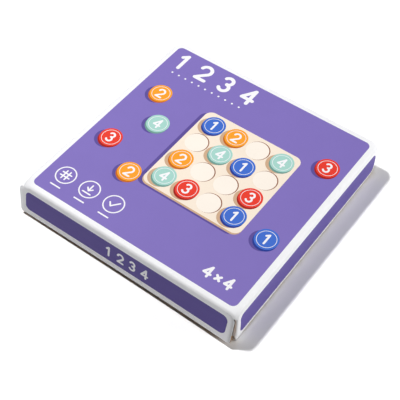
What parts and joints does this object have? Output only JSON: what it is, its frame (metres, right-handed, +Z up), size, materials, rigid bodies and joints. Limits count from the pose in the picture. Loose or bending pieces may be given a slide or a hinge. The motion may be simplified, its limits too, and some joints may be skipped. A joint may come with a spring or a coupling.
{
  "type": "sudoku board game",
  "caption": "Flat square game box of folded card with a lift-off lid, holding a wooden pocket board and round colour discs for a number-placing puzzle.",
  "frame": {"origin": "middle of the tray's underside, where the box stands on the table", "axes": "+Z up; the lid's front flap faces -Y; +X is to the right seen from the front"},
  "size_m": [0.212, 0.2167, 0.033],
  "materials": {
    "printed_card": "satin",
    "white_card": "matte",
    "kraft_card": "matte",
    "face_wood": "matte",
    "backing_wood": "matte",
    "blue_paint": "satin",
    "orange_paint": "satin",
    "red_paint": "satin",
    "mint_paint": "satin"
  },
  "bodies": {
    "tray": {"tray_floor_panel": "kraft_card", "tray_front_wall": "kraft_card", "tray_rear_wall": "kraft_card", "tray_left_wall": "kraft_card", "tray_right_wall": "kraft_card", "tray_corner_tabs": "kraft_card", "riser_deck": "kraft_card", "riser_front_leg": "kraft_card", "riser_rear_leg": "kraft_card", "riser_left_leg": "kraft_card", "riser_right_leg": "kraft_card"},
    "board": {"board_backing": "backing_wood", "board_face": "face_wood"},
    "lid": {"lid_top_panel": "printed_card", "lid_rear_wall": "printed_card", "lid_left_wall": "printed_card", "lid_right_wall": "printed_card", "lid_corner_tabs": "white_card"},
    "front_flap": {"lid_front_flap": "printed_card"},
    "blue_disc_1": {"blue_disc_1": "blue_paint"},
    "blue_disc_2": {"blue_disc_2": "blue_paint"},
    "blue_disc_3": {"blue_disc_3": "blue_paint"},
    "blue_disc_4": {"blue_disc_4": "blue_paint"},
    "orange_disc_1": {"orange_disc_1": "orange_paint"},
    "orange_disc_2": {"orange_disc_2": "orange_paint"},
    "orange_disc_3": {"orange_disc_3": "orange_paint"},
    "orange_disc_4": {"orange_disc_4": "orange_paint"},
    "red_disc_1": {"red_disc_1": "red_paint"},
    "red_disc_2": {"red_disc_2": "red_paint"},
    "red_disc_3": {"red_disc_3": "red_paint"},
    "red_disc_4": {"red_disc_4": "red_paint"},
    "mint_disc_1": {"mint_disc_1": "mint_paint"},
    "mint_disc_2": {"mint_disc_2": "mint_paint"},
    "mint_disc_3": {"mint_disc_3": "mint_paint"},
    "mint_disc_4": {"mint_disc_4": "mint_paint"}
  },
  "joints": [
    {"name": "board_lift", "type": "slide", "parent": "tray", "child": "board", "axis": [0, 0, 1], "range_m": [0, 0.06]},
    {"name": "lid_lift", "type": "slide", "parent": "board", "child": "lid", "axis": [0, 0, 1], "range_m": [0, 0.09]},
    {"name": "front_flap_crease", "type": "hinge", "parent": "lid", "child": "front_flap", "pos_m": [0, -0.106, 0.0313], "axis": [-1, 0, 0], "range_deg": [-8.6, 80], "stiffness_Nm_per_rad": 0.02},
    {"name": "blue_disc_1_lift", "type": "slide", "parent": "board", "child": "blue_disc_1", "axis": [0, 0, 1], "range_m": [0, 0.005]},
    {"name": "blue_disc_2_lift", "type": "slide", "parent": "board", "child": "blue_disc_2", "axis": [0, 0, 1], "range_m": [0, 0.005]},
    {"name": "blue_disc_3_lift", "type": "slide", "parent": "board", "child": "blue_disc_3", "axis": [0, 0, 1], "range_m": [0, 0.005]},
    {"name": "blue_disc_4_lift", "type": "slide", "parent": "board", "child": "blue_disc_4", "axis": [0, 0, 1], "range_m": [0, 0.005]},
    {"name": "orange_disc_1_lift", "type": "slide", "parent": "board", "child": "orange_disc_1", "axis": [0, 0, 1], "range_m": [0, 0.005]},
    {"name": "orange_disc_2_lift", "type": "slide", "parent": "board", "child": "orange_disc_2", "axis": [0, 0, 1], "range_m": [0, 0.005]},
    {"name": "orange_disc_3_lift", "type": "slide", "parent": "board", "child": "orange_disc_3", "axis": [0, 0, 1], "range_m": [0, 0.005]},
    {"name": "orange_disc_4_lift", "type": "slide", "parent": "board", "child": "orange_disc_4", "axis": [0, 0, 1], "range_m": [0, 0.005]},
    {"name": "red_disc_1_lift", "type": "slide", "parent": "board", "child": "red_disc_1", "axis": [0, 0, 1], "range_m": [0, 0.005]},
    {"name": "red_disc_2_lift", "type": "slide", "parent": "board", "child": "red_disc_2", "axis": [0, 0, 1], "range_m": [0, 0.005]},
    {"name": "red_disc_3_lift", "type": "slide", "parent": "board", "child": "red_disc_3", "axis": [0, 0, 1], "range_m": [0, 0.005]},
    {"name": "red_disc_4_lift", "type": "slide", "parent": "board", "child": "red_disc_4", "axis": [0, 0, 1], "range_m": [0, 0.005]},
    {"name": "mint_disc_1_lift", "type": "slide", "parent": "board", "child": "mint_disc_1", "axis": [0, 0, 1], "range_m": [0, 0.005]},
    {"name": "mint_disc_2_lift", "type": "slide", "parent": "board", "child": "mint_disc_2", "axis": [0, 0, 1], "range_m": [0, 0.005]},
    {"name": "mint_disc_3_lift", "type": "slide", "parent": "board", "child": "mint_disc_3", "axis": [0, 0, 1], "range_m": [0, 0.005]},
    {"name": "mint_disc_4_lift", "type": "slide", "parent": "board", "child": "mint_disc_4", "axis": [0, 0, 1], "range_m": [0, 0.005]}
  ]
}
